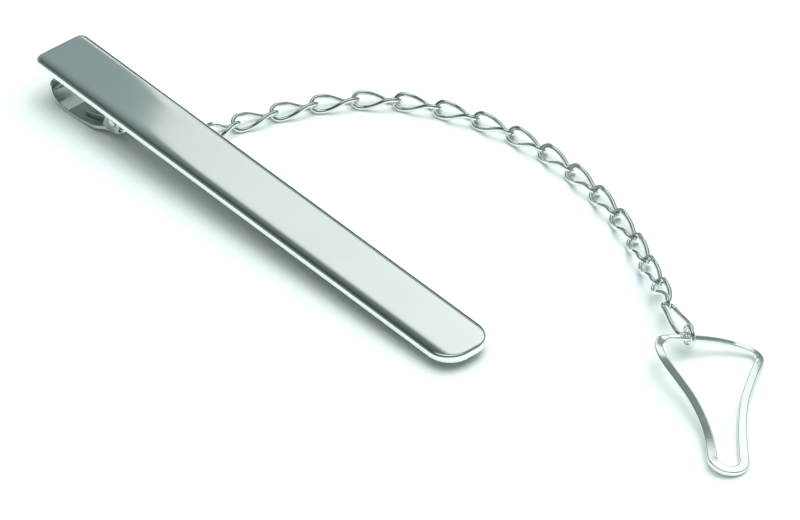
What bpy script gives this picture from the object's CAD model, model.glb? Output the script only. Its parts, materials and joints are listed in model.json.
"""The looks of a tie bar with a spring clip, a safety chain and a button loop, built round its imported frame.

Shapes are worked out in millimetres and turned into metres when a mesh is made.
"""

import json
import math

import bmesh
import bpy
from mathutils import Matrix, Quaternion, Vector


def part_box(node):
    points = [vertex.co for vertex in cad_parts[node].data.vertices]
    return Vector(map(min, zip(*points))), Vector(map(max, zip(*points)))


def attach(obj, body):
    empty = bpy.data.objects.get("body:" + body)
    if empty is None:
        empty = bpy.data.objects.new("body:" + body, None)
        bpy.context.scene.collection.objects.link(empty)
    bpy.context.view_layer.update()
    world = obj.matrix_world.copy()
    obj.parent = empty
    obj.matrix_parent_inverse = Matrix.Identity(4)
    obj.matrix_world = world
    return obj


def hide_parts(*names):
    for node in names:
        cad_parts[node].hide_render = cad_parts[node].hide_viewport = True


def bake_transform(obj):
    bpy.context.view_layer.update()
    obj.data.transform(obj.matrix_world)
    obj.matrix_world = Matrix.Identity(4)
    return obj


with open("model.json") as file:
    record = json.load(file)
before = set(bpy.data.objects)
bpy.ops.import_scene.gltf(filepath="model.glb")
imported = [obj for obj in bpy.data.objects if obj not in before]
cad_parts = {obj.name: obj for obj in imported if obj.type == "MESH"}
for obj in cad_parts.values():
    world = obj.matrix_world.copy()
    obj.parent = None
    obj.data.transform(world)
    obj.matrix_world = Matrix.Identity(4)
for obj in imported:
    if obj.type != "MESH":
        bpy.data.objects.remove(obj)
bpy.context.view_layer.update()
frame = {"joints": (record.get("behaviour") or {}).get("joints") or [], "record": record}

MM = 0.001
JOINTS = {j["name"]: j for j in frame["joints"]}
MOUNTS = {m["name"]: m for m in frame["record"]["mounts"]}

# Sizes that the frame doesn't give, in millimetres and degrees
BAR_L, BAR_W, BAR_T = 59.0, 6.2, 0.85
CORNER_R, TIP_R = 0.8, 2.5
BAR_SLOPE = 2.9
PIVOT_X, PIVOT_DROP = 10.6, 1.3
SHEET_T = 0.4
WIRE_R = 0.225
LINK_R = 0.75
LINK_SEAT = 0.275
BAND_T = 0.45


def joint_point(name):
    """Where a joint turns, in millimetres."""
    return Vector(JOINTS[name]["pos_m"]) / MM


def mount_point(name):
    """Where a mount is, in millimetres."""
    return Vector(MOUNTS[name]["pos_m"]) / MM


# The bar's own frame: its underside at z = 0 and its square end at x = 0
PIVOT = Vector((PIVOT_X, 0, -PIVOT_DROP))
BAR_TURN = Matrix.Rotation(math.radians(BAR_SLOPE), 4, "Y")
BAR_FRAME = Matrix.Translation(joint_point("clip_hinge") - BAR_TURN @ PIVOT) @ BAR_TURN


# ---------- Shader tools ----------

def ramp(tree, value, span, results=(0.0, 1.0), smooth=True):
    """Turn a value that goes through span into one that goes from the first result to the second."""
    change = tree.nodes.new("ShaderNodeMapRange")
    if smooth:
        change.interpolation_type = "SMOOTHSTEP"
    for name, number in zip(("From Min", "From Max", "To Min", "To Max"), (*span, *results)):
        change.inputs[name].default_value = number
    tree.links.new(value, change.inputs["Value"])
    return change.outputs["Result"]


def combine(tree, operation, first, second):
    """A Math node's result for two other nodes' outputs."""
    both = tree.nodes.new("ShaderNodeMath")
    both.operation = operation
    tree.links.new(first, both.inputs[0])
    tree.links.new(second, both.inputs[1])
    return both.outputs[0]


def blend_colours(tree, factor, low, high):
    """Mix two colours, each given as numbers or as another node's output."""
    mix = tree.nodes.new("ShaderNodeMix")
    mix.data_type = "RGBA"
    for name, colour in (("A", low), ("B", high)):
        if isinstance(colour, tuple):
            mix.inputs[name].default_value = colour
        else:
            tree.links.new(colour, mix.inputs[name])
    tree.links.new(factor, mix.inputs["Factor"])
    return mix.outputs["Result"]


def noise(tree, place, scale, detail):
    """Cloudy noise from 0 to 1."""
    cloud = tree.nodes.new("ShaderNodeTexNoise")
    cloud.inputs["Scale"].default_value = scale
    cloud.inputs["Detail"].default_value = detail
    tree.links.new(place, cloud.inputs["Vector"])
    return cloud.outputs["Fac"]


def bump(tree, height, strength):
    """A Bump node whose full height is 0.02 mm."""
    relief = tree.nodes.new("ShaderNodeBump")
    relief.inputs["Strength"].default_value = strength
    relief.inputs["Distance"].default_value = 0.02 * MM
    tree.links.new(height, relief.inputs["Height"])
    return relief


# ---------- Materials ----------

# Noise scales, for places in metres. Hairlines are stretched along x.
POLISH_SCALE, TONE_SCALE, GRAIN_SCALE = 420, 130, 5200
HAIR_SCALES = (60, 2600, 900)
LEAST_ROUGHNESS = 0.01


def metal(name, colour, roughness, wear=0.05, grain=0.0, tint=0.04, scratch=0.02):
    """Plated metal: cloudy polish, hairline scratches and a slight change of tone.

    wear is how far the roughness wanders, grain how strong the rolled texture is, tint how far the tone
    wanders and scratch how deep the hairlines are.
    """
    material = bpy.data.materials.new(name)
    material.use_nodes = True
    tree = material.node_tree
    shader = tree.nodes["Principled BSDF"]
    shader.inputs["Metallic"].default_value = 1.0
    place = tree.nodes.new("ShaderNodeTexCoord").outputs["Object"]

    polish = ramp(tree, noise(tree, place, POLISH_SCALE, 4), (0, 1),
                  (max(LEAST_ROUGHNESS, roughness - wear), roughness + wear), smooth=False)
    tree.links.new(polish, shader.inputs["Roughness"])

    tone = blend_colours(tree, noise(tree, place, TONE_SCALE, 3), (*[c * (1 - tint) for c in colour], 1),
                         (*[min(1, c * (1 + tint)) for c in colour], 1))
    tree.links.new(tone, shader.inputs["Base Color"])

    stretch = tree.nodes.new("ShaderNodeMapping")
    stretch.inputs["Scale"].default_value = HAIR_SCALES
    tree.links.new(place, stretch.inputs["Vector"])
    hairs = bump(tree, noise(tree, stretch.outputs["Vector"], 1, 5), scratch)
    grains = bump(tree, noise(tree, place, GRAIN_SCALE, 2), grain)
    tree.links.new(hairs.outputs["Normal"], grains.inputs["Normal"])
    tree.links.new(grains.outputs["Normal"], shader.inputs["Normal"])
    return material


POLISHED = metal("polished_silver_plate", (0.86, 0.895, 0.89), 0.075, wear=0.015, scratch=0.05)
CLIP_METAL = metal("bright_clip_sheet", (0.60, 0.64, 0.63), 0.14, grain=0.10, tint=0.06)
CHAIN_METAL = metal("polished_chain_wire", (0.83, 0.855, 0.85), 0.07, wear=0.03, grain=0.05)
LOOP_METAL = metal("polished_flat_wire", (0.88, 0.91, 0.905), 0.11, grain=0.12)
BACK_METAL = metal("dull_back_of_bar", (0.52, 0.55, 0.545), 0.3, wear=0.08, grain=0.3, tint=0.08)
INSIDE_METAL = metal("dull_inside_of_clip", (0.30, 0.335, 0.33), 0.34, wear=0.1, grain=0.5, tint=0.15)
SPRING_METAL = metal("drawn_spring_wire", (0.42, 0.44, 0.445), 0.24, wear=0.08, grain=0.2, tint=0.1)


# ---------- Mesh tools ----------

X, Y, Z = Vector((1, 0, 0)), Vector((0, 1, 0)), Vector((0, 0, 1))


def make_piece(name, shape, material, body, node, sharp=50, place=None):
    """A mesh piece from a shape's points, in millimetres, and faces. It stands for a CAD node.

    Edges bent by more than sharp degrees stay crisp. A piece without a body is blended afterwards.
    """
    points, faces = shape
    mesh = bpy.data.meshes.new(name)
    placed = [place @ Vector(p) for p in points] if place else [Vector(p) for p in points]
    mesh.from_pydata([p * MM for p in placed], [], faces)
    work = bmesh.new()
    work.from_mesh(mesh)
    bmesh.ops.remove_doubles(work, verts=work.verts, dist=1e-8)
    bmesh.ops.recalc_face_normals(work, faces=work.faces)
    for face in work.faces:
        face.smooth = True
    for edge in work.edges:
        if len(edge.link_faces) == 2 and edge.calc_face_angle(0) > math.radians(sharp):
            edge.smooth = False
    work.to_mesh(mesh)
    work.free()
    mesh.materials.append(material)
    piece = bpy.data.objects.new(name, mesh)
    bpy.context.scene.collection.objects.link(piece)
    if body:
        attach(piece, body)
    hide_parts(node)
    return piece


def repaint(piece, material, chosen):
    """Give a second material to the faces that chosen picks."""
    piece.data.materials.append(material)
    for face in piece.data.polygons:
        if chosen(face):
            face.material_index = 1


def skin(rings, closed=False):
    """Points and faces of a skin over rings of points. Its ends have lids, unless it closes on itself."""
    count, total = len(rings[0]), len(rings)
    faces = []
    for r in range(total if closed else total - 1):
        a, b = r * count, (r + 1) % total * count
        faces += [(a + k, a + (k + 1) % count, b + (k + 1) % count, b + k) for k in range(count)]
    if not closed:
        faces.append(tuple(range(count - 1, -1, -1)))
        faces.append(tuple((total - 1) * count + k for k in range(count)))
    return [p for ring in rings for p in ring], faces


def sweep(path, sides, ups, sections, closed=False):
    """Skin round a path, with a section of (side, up) points at each point of the path."""
    return skin([[p + u * side + v * up for u, v in section]
                 for p, side, up, section in zip(path, sides, ups, sections)], closed)


def turned(stations, centre, axis, count):
    """A part turned on a lathe, from rings of (distance along the axis, radius). The axis is square to x."""
    total = len(stations)
    return sweep([centre + axis * distance for distance, _ in stations], [X] * total, [X.cross(axis)] * total,
                 [round_section(radius, count) for _, radius in stations])


def arc_points(x, y, radius, start, end, steps):
    """Points of an arc round (x, y), between two angles in degrees."""
    angles = [math.radians(start + (end - start) * k / steps) for k in range(steps + 1)]
    return [(x + radius * math.cos(a), y + radius * math.sin(a)) for a in angles]


def between(first, last, steps):
    """The points that part a straight line into steps, without its ends."""
    return [tuple(a + (b - a) * k / steps for a, b in zip(first, last)) for k in range(1, steps)]


def round_section(radius, count=16):
    return arc_points(0, 0, radius, 0, 360, count)[:-1]


def soft_rectangle(width, height, radius):
    """A rectangle with round corners, anticlockwise from its right side's foot.

    A point just past each end of a corner keeps the sides flat where the shading is smooth.
    """
    flat_margin = 0.04
    points = []
    for corner, (sx, sy) in enumerate([(1, -1), (1, 1), (-1, 1), (-1, -1)]):
        start = -90 + 90 * corner
        arc = arc_points(sx * (width / 2 - radius), sy * (height / 2 - radius), radius, start, start + 90, 4)
        along = Vector((-math.sin(math.radians(start)), math.cos(math.radians(start))))
        onward = Vector((-along.y, along.x))
        points.append(tuple(Vector(arc[0]) - along * flat_margin))
        points += arc
        points.append(tuple(Vector(arc[-1]) + onward * flat_margin))
    return points


def carried_frames(path, first_side):
    """Side and up directions along an open path, carried on without twist from the first side."""
    sides, ups = [], []
    side = first_side
    for before, after in zip(path[:1] + path, path[1:] + path[-1:]):
        along = (after - before).normalized()
        side = (side - side.dot(along) * along).normalized()
        sides.append(side)
        ups.append(along.cross(side))
    return sides, ups


def spline(knots, steps):
    """Catmull-Rom curve through the knots."""
    knots = [2 * knots[0] - knots[1]] + knots + [2 * knots[-1] - knots[-2]]
    points = []
    for a, b, c, d in zip(knots, knots[1:], knots[2:], knots[3:]):
        for t in [k / steps for k in range(steps)]:
            points.append(0.5 * (2 * b + (c - a) * t + (2 * a - 5 * b + 4 * c - d) * t * t
                                 + (3 * b - a - 3 * c + d) * t ** 3))
    return points + [knots[-2]]


def ease(x):
    """Go smoothly from 0 at x = 0 to 1 at x = 1."""
    x = max(0.0, min(1.0, x))
    return x * x * (3 - 2 * x)


# ---------- Bar ----------

# The plan's corners: whether at the tip, side, radius and the angle at which the arc starts
BAR_CORNERS = [(False, -1, CORNER_R, 180), (True, -1, TIP_R, 270), (True, 1, TIP_R, 0), (False, 1, CORNER_R, 90)]
CORNER_STEPS, SIDE_STEPS, END_STEPS = 14, 60, 12
LEAST_CORNER = 0.12     # Share of a corner's radius that is left, however far in the outline is


def strip_outline(inset):
    """The bar's plan, moved in by inset, anticlockwise from the square end's near corner."""
    arcs = []
    for at_tip, side, radius, start in BAR_CORNERS:
        r = max(radius - inset, LEAST_CORNER * radius)
        x = BAR_L - inset - r if at_tip else inset + r
        arcs.append(arc_points(x, side * (BAR_W / 2 - inset - r), r, start, start + 90, CORNER_STEPS))
    points = []
    for index, arc in enumerate(arcs):
        following = arcs[(index + 1) % len(arcs)]
        points += arc + between(arc[-1], following[0], SIDE_STEPS if index % 2 == 0 else END_STEPS)
    return points


def bar_top(x, y):
    """Height of the bar's face, which is flat in the middle and falls away along its sides and square end."""
    reach, near_fall, far_fall = 1.7, 0.16, 0.13
    end_reach, end_fall = 0.45, 0.05
    share = max(0.0, (abs(y) - (BAR_W / 2 - reach)) / reach)
    end_share = max(0.0, (end_reach - x) / end_reach)
    return BAR_T - (near_fall if y < 0 else far_fall) * share ** 3 - end_fall * end_share ** 2


def front_bar():
    under_r, edge_r = 0.13, 0.25
    under_insets = (1.2, 0.4)
    under_steps, edge_steps, face_steps = 4, 8, 14
    edge_end = 80           # Degrees of the top rim's arc
    face_start, face_width = 0.21, 1.65
    rings = [[(x, y, 0.0) for x, y in strip_outline(inset)] for inset in under_insets]
    for k in range(under_steps + 1):
        a = math.radians(90 * k / under_steps)
        rings.append([(x, y, under_r * (1 - math.cos(a))) for x, y in strip_outline(under_r * (1 - math.sin(a)))])
    for k in range(edge_steps + 1):
        a = math.radians(edge_end * k / edge_steps)
        rings.append([(x, y, bar_top(x, y) - edge_r * (1 - math.sin(a)))
                      for x, y in strip_outline(edge_r * (1 - math.cos(a)))])
    for k in range(1, face_steps + 1):
        rings.append([(x, y, bar_top(x, y)) for x, y in strip_outline(face_start + face_width * k / face_steps)])
    bar = make_piece("polished_bar", skin(rings), POLISHED, "bar", "front_bar", 60, BAR_FRAME)
    down = BAR_TURN @ -Z
    repaint(bar, BACK_METAL, lambda face: face.normal.dot(down) > 0.99)


# ---------- Clip ----------

BRACKET_T = 0.35
EAR_IN, EAR_OUT = 1.25, 1.6
LEVER_IN, LEVER_OUT = 1.7, 2.1
SIDES = ((-1, "near"), (1, "far"))


def clip_piece(name, shape, body, node, sharp=50):
    """A piece of the clip's bright sheet, drawn in the bar's own frame."""
    return make_piece(name, shape, CLIP_METAL, body, node, sharp, BAR_FRAME)


def prism(outline, y_middle, thickness, bevel):
    """A flat part drawn in x and z, with rounded rims, standing across the bar's frame at y_middle."""
    sharpest = 0.6          # Keeps the bevel from running out at sharp corners
    corners = [Vector(p) for p in outline]
    inward = []
    for before, corner, after in zip(corners[-1:] + corners, corners, corners[1:] + corners[:1]):
        arriving, leaving = (corner - before).normalized(), (after - corner).normalized()
        normal = Vector((-(arriving.y + leaving.y), arriving.x + leaving.x))
        inward.append(normal.normalized() / max(sharpest, math.sqrt((1 + arriving.dot(leaving)) / 2)))
    rim = [(bevel * (1 - math.sin(a)), thickness / 2 - bevel * (1 - math.cos(a)))
           for a in [math.radians(angle) for angle in (0, 30, 60, 90)]]
    levels = [(inset, -level) for inset, level in rim] + [(inset, level) for inset, level in reversed(rim)]
    return skin([[(c.x + inset * n.x, y_middle + level, c.y + inset * n.y) for c, n in zip(corners, inward)]
                 for inset, level in levels])


def hinge_bracket():
    half, ear_r, ear_top = 1.3, 0.5, -0.2
    base = soft_rectangle(2 * half, 2 * EAR_OUT, 0.3)
    levels = [(0.0, 0.0), (0.0, -BRACKET_T + 0.08), (0.03, -BRACKET_T + 0.02), (0.09, -BRACKET_T)]
    rings = [[(PIVOT_X + x * (1 - inset / half), y * (1 - inset / EAR_OUT), z) for x, y in base]
             for inset, z in levels]
    clip_piece("bracket_base", skin(rings), "bar", "hinge_bracket")
    ear = [(PIVOT_X + ear_r, ear_top), (PIVOT_X - ear_r, ear_top)] \
        + arc_points(PIVOT_X, -PIVOT_DROP, ear_r, 180, 360, 16)
    for side, name in SIDES:
        clip_piece(f"bracket_ear_{name}", prism(ear, side * (EAR_IN + EAR_OUT) / 2, EAR_OUT - EAR_IN, 0.06),
                   "bar", "hinge_bracket")


def hinge_pin():
    head = LEVER_OUT + 0.05
    end = [(0.2, 0.02), (0.19, 0.2), (0.15, 0.38), (0.09, 0.48), (0, 0.5), (0, 0.3)]
    stations = [(-head - beyond, radius) for beyond, radius in end]
    stations += [(-y, radius) for y, radius in reversed(stations)]
    clip_piece("hinge_pin_turned", turned(stations, PIVOT, Y, 28), "bar", "hinge_pin")


def torsion_spring():
    wire_r, coil_r, turns, half = 0.12, 0.48, 5.5, 0.9
    steps, leg_steps = 28, 8
    coil = []
    for turn in [k / steps for k in range(int(steps * turns) + 1)]:
        angle = 2 * math.pi * turn
        coil.append(PIVOT + Vector((coil_r * math.sin(angle), half - 2 * half * turn / turns,
                                    coil_r * math.cos(angle))))
    bar_end, tab_end = Vector((6.4, half, -wire_r - 0.02)), Vector((6.0, -1.45, -3.04))
    path = [bar_end.lerp(coil[0], k / leg_steps) for k in range(leg_steps)] + coil \
        + [coil[-1].lerp(tab_end, k / leg_steps) for k in range(1, leg_steps + 1)]
    shape = sweep(path, *carried_frames(path, Y), [round_section(wire_r, 12)] * len(path))
    spring = make_piece("coil_spring", shape, SPRING_METAL, None, "torsion_spring",
                        place=BAR_FRAME)
    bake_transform(spring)


JAW_FLOOR, JAW_END, JAW_W = -1.15, 51.0, 3.0
TAB_W = 5.0
LEVER_LINE = [
    (1.7, -1.35), (1.75, -2.0), (2.1, -2.75), (2.85, -3.28), (4.1, -3.47), (5.4, -3.46), (6.6, -3.34),
    (8.2, -3.0), (9.4, -2.62), (10.3, -2.32), (10.9, -2.2), (11.6, -1.92), (12.4, -1.38), (13.2, JAW_FLOOR),
    (15, JAW_FLOOR)
]


def round_end(half, radius, left):
    """Half the width of a strip with round corners, at a distance left from its end."""
    return half - radius + math.sqrt(max(0, radius ** 2 - (radius - left) ** 2))


def lever_half_width(x, run):
    """Half the sheet's width at x, a run of that many millimetres from the tab's lip."""
    lip_r, tip_r = 1.15, 0.8
    neck_start, neck_run = 8.2, 1.6         # From the tab's width to the ears'
    waist_start, waist_run = 11.1, 1.1      # From the ears' width to the jaw's
    if run < lip_r:
        return round_end(TAB_W / 2, lip_r, run)
    if x < waist_start + waist_run:
        neck = TAB_W / 2 + (LEVER_OUT - TAB_W / 2) * ease((x - neck_start) / neck_run)
        return neck + (JAW_W / 2 - LEVER_OUT) * ease((x - waist_start) / waist_run)
    if JAW_END - x < tip_r:
        return round_end(JAW_W / 2, tip_r, JAW_END - x)
    return JAW_W / 2


def lever_sheet():
    """The tab and the jaw's floor, whose points lie closer where the plan's corners are round."""
    bend_steps, floor_steps, lip_overhang = 7, 24, 0.02
    lip_shares = (0, 0.06, 0.16, 0.32, 0.52, 0.76)
    tip_distances = (0.8, 0.6, 0.4, 0.25, 0.14, 0.06, 0.0)
    path = spline([Vector((x, 0, z)) for x, z in LEVER_LINE], bend_steps)
    lip = path[0] - (path[1] - path[0]).normalized() * lip_overhang
    tip = [(JAW_END - distance, JAW_FLOOR) for distance in tip_distances]
    floor = between(LEVER_LINE[-1], tip[0], floor_steps) + tip
    path = [lip.lerp(path[2], share) for share in lip_shares] + path[2:] + [Vector((x, 0, z)) for x, z in floor]
    sections, run = [], 0.0
    for before, p in zip(path[:1] + path, path):
        run += (p - before).length
        sections.append(soft_rectangle(2 * lever_half_width(p.x, run), SHEET_T, 0.08))
    sheet = clip_piece("thumb_tab_and_jaw_floor", sweep(path, *carried_frames(path, Y), sections),
                       "lever", "clip_lever", 70)

    # The hollow of the tab near the spring is dull
    hollow_start, hollow_end = 4.4, 10.4
    up, to_bar = BAR_TURN @ Z, BAR_FRAME.inverted()
    repaint(sheet, INSIDE_METAL, lambda face: face.normal.dot(up) > 0.7
            and hollow_start < (to_bar @ (face.center / MM)).x < hollow_end)


def clip_lever():
    lever_sheet()
    ear = [(8.9, -2.8)] + arc_points(PIVOT_X, -PIVOT_DROP, 1.05, 160, -35, 24) \
        + [(11.8, -1.85), (11.2, -2.15), (10.3, -2.35), (9.6, -2.55)]
    for side, name in SIDES:
        shape = prism(ear[::-1], side * (LEVER_IN + LEVER_OUT) / 2, LEVER_OUT - LEVER_IN, 0.08)
        clip_piece(f"lever_ear_{name}", shape, "lever", "clip_lever")

    teeth, band, tooth_tip = 10, 16.0, -0.08
    tooth_root = tooth_tip - 0.45
    wall_end = JAW_END - 1
    band_start = wall_end - band
    wall = [(13.0, JAW_FLOOR), (14.0, tooth_root), (band_start, tooth_root)]
    for k in range(teeth):
        wall += [(band_start + (k + 0.5) * band / teeth, tooth_tip),
                 (band_start + (k + 1) * band / teeth, tooth_root)]
    wall.append((wall_end, JAW_FLOOR))
    for side, name in SIDES:
        clip_piece(f"jaw_wall_{name}", prism(wall[::-1], side * (JAW_W - SHEET_T) / 2, SHEET_T, 0.05),
                   "lever", "clip_lever", 30)


# ---------- Chain ----------

LINKS = 17
SEATS = [joint_point(f"link_{n:02d}_{'lift' if n % 2 else 'swing'}") for n in range(1, LINKS + 1)]
SEATS.append(joint_point("end_ring_swing"))
PITCH = (SEATS[1] - SEATS[0]).length
# Degrees by which a link's ends are turned out of the level: most links, and those that differ
NEAR_TURN, NEAR_TURNS = 40, {1: 80, LINKS: -28}
FAR_TURN, FAR_TURNS = -42, {LINKS - 1: -90, LINKS: 5}


def wire_loop(name, path, body, node, hints, seam_at):
    """A closed loop of round wire, with a fine soldered seam where its ends meet."""
    seam_share = 0.94
    sides, ups = [], []
    for before, after, hint in zip(path[-1:] + path, path[1:] + path[:1], hints):
        along = (after - before).normalized()
        ups.append((hint - hint.dot(along) * along).normalized())
        sides.append(ups[-1].cross(along))
    sections = [round_section(WIRE_R * (seam_share if i == seam_at else 1.0), 18) for i in range(len(path))]
    make_piece(name, sweep(path, sides, ups, sections, closed=True), CHAIN_METAL, body, node, 60)


def link_outline():
    """Middle line of an untwisted link, once round, as (length, width), and where its seam is."""
    side = (PITCH + 2 * LINK_SEAT) / 2 - LINK_R
    arc_steps, side_steps = 22, 16
    far_end = arc_points(side, 0, LINK_R, -90, 90, arc_steps)
    near_end = [(-x, -y) for x, y in far_end]
    points = far_end + between(far_end[-1], near_end[0], side_steps) + near_end \
        + between(near_end[-1], far_end[0], side_steps)
    return points, side, len(far_end) + side_steps // 2


def chain_link(number):
    near, far = SEATS[number - 1], SEATS[number]
    near_turn, far_turn = NEAR_TURNS.get(number, NEAR_TURN), FAR_TURNS.get(number, FAR_TURN)
    outline, side, seam = link_outline()
    run = far - near
    along = run.normalized()
    level = Vector((-run.y, run.x, 0)).normalized()
    above = along.cross(level)
    path, hints = [], []
    for u, w in outline:
        turn = math.radians(near_turn + (far_turn - near_turn) * ease(u / (2 * side) + 0.5))
        across = math.cos(turn) * level + math.sin(turn) * above
        path.append((near + far) / 2 + u * along + w * across)
        hints.append(along.cross(across))
    wire_loop(f"twisted_link_{number:02d}", path, f"link_{number:02d}", f"chain_link_{number:02d}", hints, seam)


def ring(name, body, node, across, above, radius=None):
    """A ring in the middle of its node's box, as wide as the box unless a radius is given."""
    low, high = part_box(node)
    centre = (low + high) / (2 * MM)
    radius = radius or (high.x - low.x) / (2 * MM) - WIRE_R
    steps = 72
    angles = [2 * math.pi * k / steps for k in range(steps)]
    path = [centre + radius * (math.cos(a) * across + math.sin(a) * above) for a in angles]
    wire_loop(name, path, body, node, [across.cross(above)] * steps, steps // 6)


def chain():
    for n in range(1, LINKS + 1):
        chain_link(n)
    ring("bar_jump_ring", "ring", "jump_ring", X, Y)
    along = SEATS[-1] - SEATS[-2]
    along = Vector((along.x, along.y, 0)).normalized()
    tilt = math.radians(82)
    above = math.cos(tilt) * Vector((-along.y, along.x, 0)) + math.sin(tilt) * Z
    ring("end_jump_ring", "end_ring", "loop_ring", along, above, radius=0.92)


def chain_lug():
    """A wire staple whose legs are soldered to the bar's underside."""
    leg_r, wire_r, sunk = 0.5, 0.2, 0.12
    leg_steps, bend_steps = 6, 20
    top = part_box("chain_lug")[1].z / MM
    middle = joint_point("ring_swing") - leg_r * Y
    near_leg, far_leg = middle - leg_r * Y, middle + leg_r * Y
    rises = [(top - middle.z) * k / leg_steps for k in range(1, leg_steps)]
    bend = [math.pi * k / bend_steps for k in range(bend_steps + 1)]
    path = [Vector((middle.x, far_leg.y, top - sunk))] + [far_leg + rise * Z for rise in reversed(rises)] \
        + [middle + leg_r * (math.cos(a) * Y - math.sin(a) * Z) for a in bend] \
        + [near_leg + rise * Z for rise in rises] + [Vector((middle.x, near_leg.y, top - sunk))]
    shape = sweep(path, *carried_frames(path, X), [round_section(wire_r)] * len(path))
    make_piece("wire_staple", shape, CLIP_METAL, "bar", "chain_lug")
    fillet = [(-0.02, 0.36), (-0.08, 0.33), (-0.18, 0.27), (-0.32, 0.21), (-0.44, 0.201)]
    for side, name in SIDES:
        foot = Vector((middle.x, middle.y + side * leg_r, top))
        make_piece(f"solder_fillet_{name}", turned(fillet, foot, Z, 20), CLIP_METAL, "bar",
                   "chain_lug")


# ---------- Button loop ----------

FOOT, FOOT_R = Vector((0.15, 1.46)), 1.46
BAND_W, FOOT_W, TOP_W = 0.78, 0.9, 0.54
TOP_HINGE = Vector((-1.74, 17.735))
LOOP_LINE = [
    (-1.31, 1.46), (-1.32, 3.95), (-1.65, 6.45), (-2.35, 9.15), (-3.35, 11.6), (-4.4, 14.0), (-4.85, 15.75),
    (-4.6, 16.85), (-3.8, 17.4), (-2.3, 17.67), (0, 17.8), (1.7, 17.65), (3.1, 17.25), (4.1, 16.75),
    (4.55, 16.05), (4.4, 15.15), (3.65, 13.2), (2.6, 9.95), (2.0, 6.7), (1.75, 4.15), (1.61, 1.46)
]
TOP_FIRST, TOP_LAST, CORNER = 8, 13, 14
# How far the wire's flat face leans towards the inside of the loop at each of those points, in degrees
LOOP_LEAN = [-12, -17, -14.5, -14, -14.5, -13, 0, 11, 0, 10.5, 13.5, 12.5, 5, 0, -20, 0, 7, 7, 7, 6, 0]
SPAN_STEPS, FOOT_STEPS = 10, 36


def loop_frame():
    """The loop's plane, from its foot's axis and the direction from the foot to its top bar."""
    foot = mount_point("loop_foot")
    normal = Vector(MOUNTS["loop_foot"]["axis"]).normalized()
    run = joint_point("loop_lift") - foot
    run = (run - run.dot(normal) * normal).normalized()
    flat_run = (TOP_HINGE - FOOT).normalized()
    up = flat_run.y * run + flat_run.x * normal.cross(run)
    turn = Matrix((up.cross(normal), up, normal)).transposed().to_4x4()
    return Matrix.Translation(foot) @ turn @ Matrix.Translation((-FOOT.x, -FOOT.y, 0))


def band_width(p):
    """Width of the flat wire at a place counted in points of LOOP_LINE."""
    last = len(LOOP_LINE) - 1
    top = ease(min(1, max(0, p - TOP_FIRST + 1)) * min(1, max(0, TOP_LAST + 1 - p)))
    foot = 1 - ease(min(p, last - p) / 2)
    return BAND_W + (TOP_W - BAND_W) * top + (FOOT_W - BAND_W) * foot


def band_lean(index):
    """Lean of the flat wire at a point of the loop's path, in degrees."""
    last = len(LOOP_LEAN) - 1
    place = index / SPAN_STEPS
    if place < last:
        low = int(place)
        return LOOP_LEAN[low] + (LOOP_LEAN[low + 1] - LOOP_LEAN[low]) * ease(place - low)
    share = (index - last * SPAN_STEPS) / FOOT_STEPS
    return LOOP_LEAN[-1] + (LOOP_LEAN[0] - LOOP_LEAN[-1]) * share ** 4


def button_loop():
    """The loop of flat wire, with a fine seam where its ends meet."""
    seam, seam_pinch = CORNER * SPAN_STEPS - 3, 0.90
    knots = [Vector((x, y, 0)) for x, y in LOOP_LINE]
    below = Vector((0, 0.6, 0))     # Points straight below the ends make the wire run square into the foot
    path = spline([knots[0] - below] + knots + [knots[-1] - below], SPAN_STEPS)[SPAN_STEPS:-SPAN_STEPS]
    widths = [band_width(i / SPAN_STEPS) for i in range(len(path))] + [FOOT_W] * (FOOT_STEPS - 1)
    foot = arc_points(FOOT.x, FOOT.y, FOOT_R, 0, -180, FOOT_STEPS)[1:-1]
    path += [Vector((x, y, 0)) for x, y in foot]
    sides, ups = [], []
    for i, (before, after) in enumerate(zip(path[-1:] + path, path[1:] + path[:1])):
        inside = (after - before).normalized().cross(Z)
        turn = math.radians(band_lean(i))
        sides.append(math.cos(turn) * inside - math.sin(turn) * Z)
        ups.append(math.cos(turn) * Z + math.sin(turn) * inside)
    pinches = [1.0] * len(path)
    pinches[seam] = seam_pinch
    sections = [soft_rectangle(width * pinch, BAND_T * pinch, 0.09) for width, pinch in zip(widths, pinches)]
    make_piece("flat_wire_loop", sweep(path, sides, ups, sections, closed=True), LOOP_METAL,
               "loop", "button_loop", 60, loop_frame())


front_bar()
hinge_bracket()
hinge_pin()
torsion_spring()
clip_lever()
chain()
chain_lug()
button_loop()


# ---------- Studio ----------

def make_floor():
    half = 0.9
    mesh = bpy.data.meshes.new("floor")
    mesh.from_pydata([(-half, -half, 0), (half, -half, 0), (half, half, 0), (-half, half, 0)], [], [(0, 1, 2, 3)])
    floor = bpy.data.objects.new("floor", mesh)
    bpy.context.scene.collection.objects.link(floor)
    material = bpy.data.materials.new("pale_floor")
    material.use_nodes = True
    shader = material.node_tree.nodes["Principled BSDF"]
    shader.inputs["Base Color"].default_value = (0.92, 0.945, 0.945, 1)
    shader.inputs["Roughness"].default_value = 0.9
    shader.inputs["Specular IOR Level"].default_value = 0.0
    mesh.materials.append(material)


# Colours of the room that the metal mirrors
DARK, GREY, WHITE = (0.048, 0.06, 0.059, 1), (0.27, 0.345, 0.34, 1), (0.85, 0.93, 0.92, 1)


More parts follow.
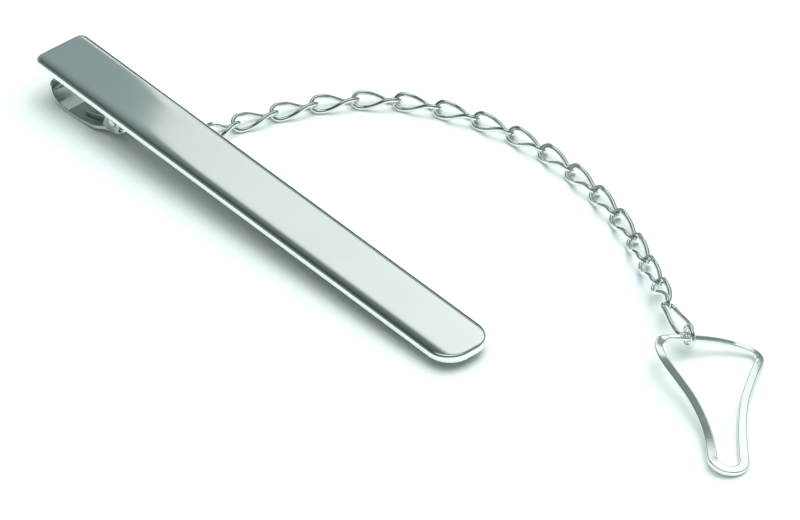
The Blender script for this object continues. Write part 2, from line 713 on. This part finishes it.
def make_world():
    """A dark room with a white ceiling, a grey wall at the back left and grey low and upper parts elsewhere.

    A place in it is the direction in which it is seen, so its height is 0 at the level and 1 overhead.
    """
    world = bpy.data.worlds.new("studio")
    bpy.context.scene.world = world
    world.use_nodes = True
    tree = world.node_tree
    place = tree.nodes.new("ShaderNodeTexCoord").outputs["Generated"]
    split = tree.nodes.new("ShaderNodeSeparateXYZ")
    tree.links.new(place, split.inputs[0])
    right, back, height = (split.outputs[name] for name in ("X", "Y", "Z"))
    towards_wall = tree.nodes.new("ShaderNodeVectorMath")
    towards_wall.operation = "DOT_PRODUCT"
    towards_wall.inputs[1].default_value = (-0.743, 0.669, 0)
    tree.links.new(place, towards_wall.inputs[0])

    def rise(value, start, end, full=1):
        return ramp(tree, value, (start, end), (0, full))

    def fall(value, start, end, full=1):
        return ramp(tree, value, (start, end), (full, 0))

    def both(first, second):
        return combine(tree, "MULTIPLY", first, second)

    grey = both(both(rise(height, 0.4, 0.5), fall(height, 0.66, 0.86)), rise(towards_wall.outputs["Value"], 0, 0.35))
    low = both(fall(height, 0.48, 0.62, 0.9), rise(height, 0.06, 0.2))
    upper = both(rise(height, 0.6, 0.7, 0.65), rise(back, 0.08, 0.24))
    for part in (both(rise(right, -0.54, -0.46), upper), both(rise(right, -0.5, -0.38), low),
                 both(fall(back, 0.3, 0.45), low)):
        grey = combine(tree, "MAXIMUM", grey, part)
    room = blend_colours(tree, rise(height, 0.87, 0.93), blend_colours(tree, grey, DARK, GREY), WHITE)
    tree.links.new(room, tree.nodes["Background"].inputs["Color"])


def direction(azimuth, elevation):
    """Unit vector from the object towards a light or the camera, from angles in degrees."""
    a, e = math.radians(azimuth), math.radians(elevation)
    return Vector((math.sin(a) * math.cos(e), -math.cos(a) * math.cos(e), math.sin(e)))


def soft_light(name, azimuth, elevation, distance, size, power, shift=(0, 0), turn=0, colour=(1, 1, 1),
               in_metal=True):
    """A rectangular light facing the object, moved sideways by shift and turned in its own plane.

    Azimuth 0 is at the front and 90 at the right. in_metal says whether the metal mirrors the light.
    """
    light = bpy.data.lights.new(name, "AREA")
    light.shape = "RECTANGLE"
    light.size, light.size_y = size
    light.energy = power
    light.color = colour
    lamp = bpy.data.objects.new(name, light)
    bpy.context.scene.collection.objects.link(lamp)
    towards = direction(azimuth, elevation)
    across = Z.cross(towards).normalized()
    upwards = towards.cross(across)
    lamp.location = towards * distance + across * shift[0] + upwards * shift[1]
    lamp.rotation_mode = "QUATERNION"
    lamp.rotation_quaternion = Matrix((across, upwards, towards)).transposed().to_quaternion() \
        @ Quaternion(Z, math.radians(turn))
    lamp.visible_camera = False
    lamp.visible_glossy = in_metal
    return lamp


def fade(lamp):
    """Let a light fade out towards its top, and grow dimmer from left to right."""
    lamp.data.use_nodes = True
    tree = lamp.data.node_tree
    place = tree.nodes.new("ShaderNodeNewGeometry")
    split = tree.nodes.new("ShaderNodeSeparateXYZ")
    tree.links.new(place.outputs["Parametric"], split.inputs[0])
    strength = combine(tree, "MULTIPLY", ramp(tree, split.outputs["Y"], (0.66, 1), (1, 0)),
                       ramp(tree, split.outputs["X"], (0.3, 1), (1.5, 0.82), smooth=False))
    tree.links.new(strength, tree.nodes["Emission"].inputs["Strength"])


def make_camera():
    back = direction(azimuth=47.97, elevation=37.28)
    aim, distance = Vector((-0.5, -6.54, 0)) * MM, 557.48 * MM
    camera = bpy.data.objects.new("camera", bpy.data.cameras.new("camera"))
    bpy.context.scene.collection.objects.link(camera)
    camera.data.sensor_width = 36
    camera.data.lens = 270
    camera.data.clip_start = 0.01
    camera.location = aim + back * distance
    camera.rotation_mode = "QUATERNION"
    camera.rotation_quaternion = (-back).to_track_quat("-Z", "Y")
    bpy.context.scene.camera = camera


make_floor()
make_world()
fade(soft_light("back_softbox", azimuth=228, elevation=37.3, distance=0.36, size=(0.25, 0.13), power=0.064,
                shift=(-0.083, 0.072), turn=-26, colour=(1, 0.975, 0.96)))
soft_light("edge_strip", azimuth=228, elevation=37.3, distance=0.36, size=(0.06, 0.022), power=0.0018,
           shift=(0.014, -0.05))
soft_light("back_key", azimuth=178, elevation=65, distance=0.8, size=(0.8, 0.8), power=3.5,
           colour=(1, 0.98, 0.975), in_metal=False)
soft_light("sky_fill", azimuth=60, elevation=84, distance=0.9, size=(1.3, 1.3), power=6.7,
           colour=(0.89, 1, 0.985), in_metal=False)
make_camera()
bpy.context.scene.view_settings.view_transform = "Standard"
